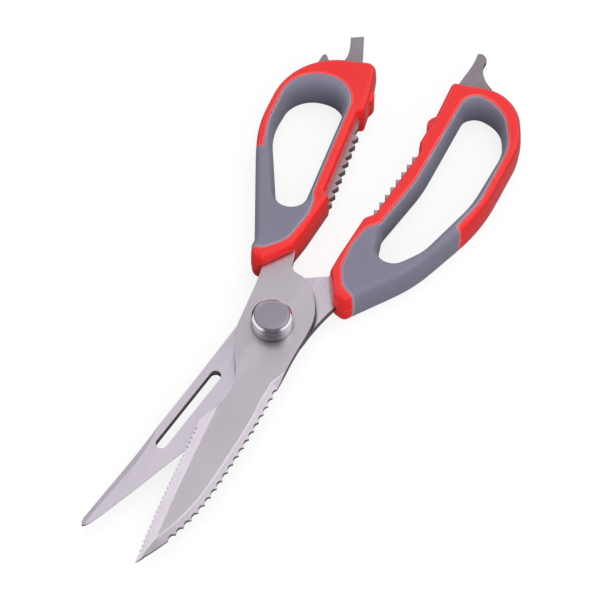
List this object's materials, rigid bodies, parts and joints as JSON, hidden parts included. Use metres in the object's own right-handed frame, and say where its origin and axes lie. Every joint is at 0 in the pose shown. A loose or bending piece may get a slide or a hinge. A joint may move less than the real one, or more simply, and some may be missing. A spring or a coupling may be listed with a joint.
{
  "type": "poultry shears",
  "caption": "Heavy kitchen shears for cutting poultry, with a saw-edged blade, fish scaler, peeler slot, nutcracker jaws, screwdriver tip and lid lifter.",
  "frame": {"origin": "on the pivot axis, on the front face of the upper blade, where the round pivot nut sits", "axes": "+Z along the pivot axis out of the front face, +Y towards the ends of the handles, +X towards the finger handle"},
  "size_m": [0.0914, 0.2419, 0.0169],
  "materials": {
    "blade_steel": "satin, ground along the blade",
    "plate_steel": "satin, stamped",
    "polished_steel": "polished",
    "satin_disc": "fine satin",
    "hidden_steel": "plain",
    "bush_bronze": "machined",
    "red_shell": "semi-gloss",
    "grey_grip": "matt"
  },
  "bodies": {
    "lower_half": {"lower_blade": "blade_steel", "finger_shell_front": "red_shell", "finger_shell_rear": "red_shell", "finger_grip": "grey_grip", "finger_jaw_plate": "plate_steel", "lid_lifter": "plate_steel", "finger_handle_pins": "hidden_steel", "pivot_bolt": "polished_steel", "thrust_washer": "hidden_steel", "spring_washer": "hidden_steel", "pivot_nut": "polished_steel", "nut_disc": "satin_disc"},
    "upper_half": {"upper_blade": "blade_steel", "pivot_bush": "bush_bronze", "thumb_shell_front": "red_shell", "thumb_shell_rear": "red_shell", "thumb_grip": "grey_grip", "thumb_jaw_plate": "plate_steel", "screwdriver_plate": "plate_steel", "thumb_handle_pins": "hidden_steel"}
  },
  "joints": [
    {"name": "blade_pivot", "type": "hinge", "parent": "lower_half", "child": "upper_half", "pos_m": [0, 0, 0], "axis": [0, 0, 1], "range_deg": [-12.25, 60]}
  ]
}
